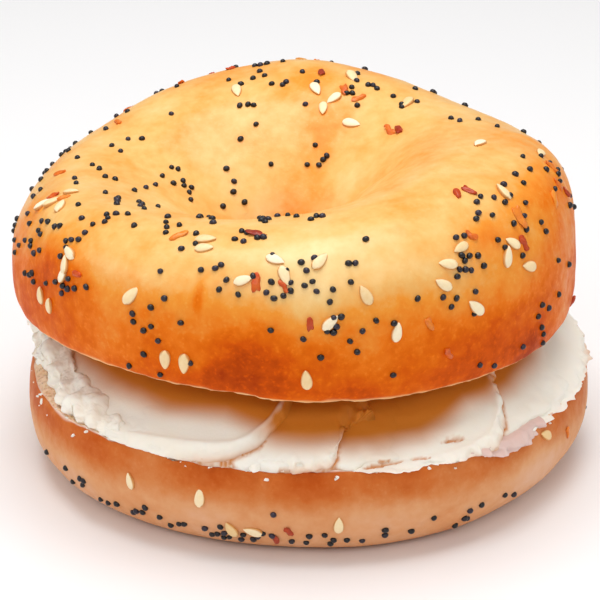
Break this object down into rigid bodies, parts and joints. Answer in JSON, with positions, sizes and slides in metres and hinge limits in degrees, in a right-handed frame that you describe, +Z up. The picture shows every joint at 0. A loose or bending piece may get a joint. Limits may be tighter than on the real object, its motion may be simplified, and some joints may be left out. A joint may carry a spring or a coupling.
{
  "type": "bagel sandwich",
  "caption": "Seeded bagel cut in two and closed over a thick layer of knife-spread cream cheese.",
  "frame": {"origin": "centre of the bagel's footprint, on the plane it stands on", "axes": "+Z up through the hole; -Y is the front, where the cheese shows widest"},
  "size_m": [0.1003, 0.0979, 0.0571],
  "materials": {
    "top_crust": "satin",
    "cheese": "satin",
    "bottom_crust": "matt"
  },
  "bodies": {
    "root": {"bagel_top": "top_crust", "cream_cheese": "cheese", "bagel_bottom": "bottom_crust"}
  },
  "joints": []
}
